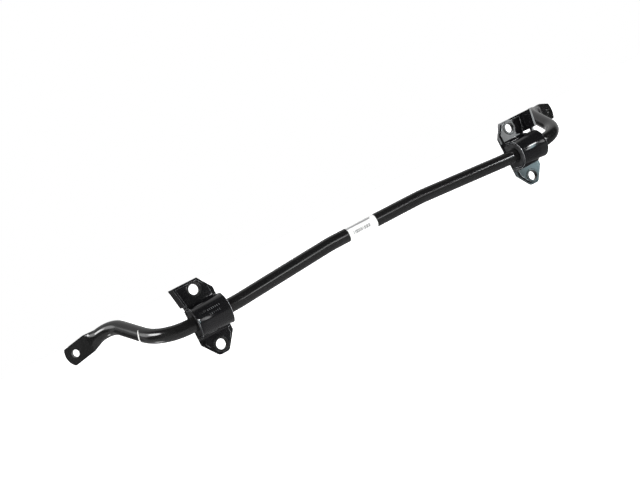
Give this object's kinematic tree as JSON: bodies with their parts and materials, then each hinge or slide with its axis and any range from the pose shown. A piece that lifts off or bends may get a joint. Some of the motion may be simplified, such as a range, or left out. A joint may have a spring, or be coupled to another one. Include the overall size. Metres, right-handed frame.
{
  "type": "sway bar",
  "caption": "Bent round anti-roll bar with flattened link eyes, held in rubber bushings by two-layer sheet steel frame brackets.",
  "frame": {"origin": "centre of the four bracket bolt holes, on the brackets' mounting face", "axes": "+X along the bar to its right-hand end, +Y from the brackets towards the vehicle's frame, the way the arms go, +Z towards the brackets' upper ears"},
  "size_m": [0.989, 0.1748, 0.1168],
  "materials": {
    "bar_paint": "gloss black paint",
    "bracket_coat": "gloss black coating on pressed steel",
    "rubber": "moulded matt",
    "label": "satin coated paper"
  },
  "bodies": {
    "left_bracket": {"left_back_plate": "bracket_coat", "left_saddle": "bracket_coat", "left_eyelets": "bracket_coat", "left_bushing": "rubber"},
    "bar": {"stabilizer_bar": "bar_paint", "identification_label": "label"},
    "right_bracket": {"right_back_plate": "bracket_coat", "right_saddle": "bracket_coat", "right_eyelets": "bracket_coat", "right_bushing": "rubber"}
  },
  "joints": [
    {"name": "left_bushing_turn", "type": "hinge", "parent": "left_bracket", "child": "bar", "pos_m": [-0.305, -0.0245, 0], "axis": [1, 0, 0], "range_deg": [-20, 20]},
    {"name": "right_bushing_turn", "type": "hinge", "parent": "bar", "child": "right_bracket", "pos_m": [0.305, -0.0245, 0], "axis": [1, 0, 0], "range_deg": [-20, 20]}
  ],
  "couplings": [
    {"joint": "right_bushing_turn", "follows": "left_bushing_turn", "ratio": -1}
  ]
}
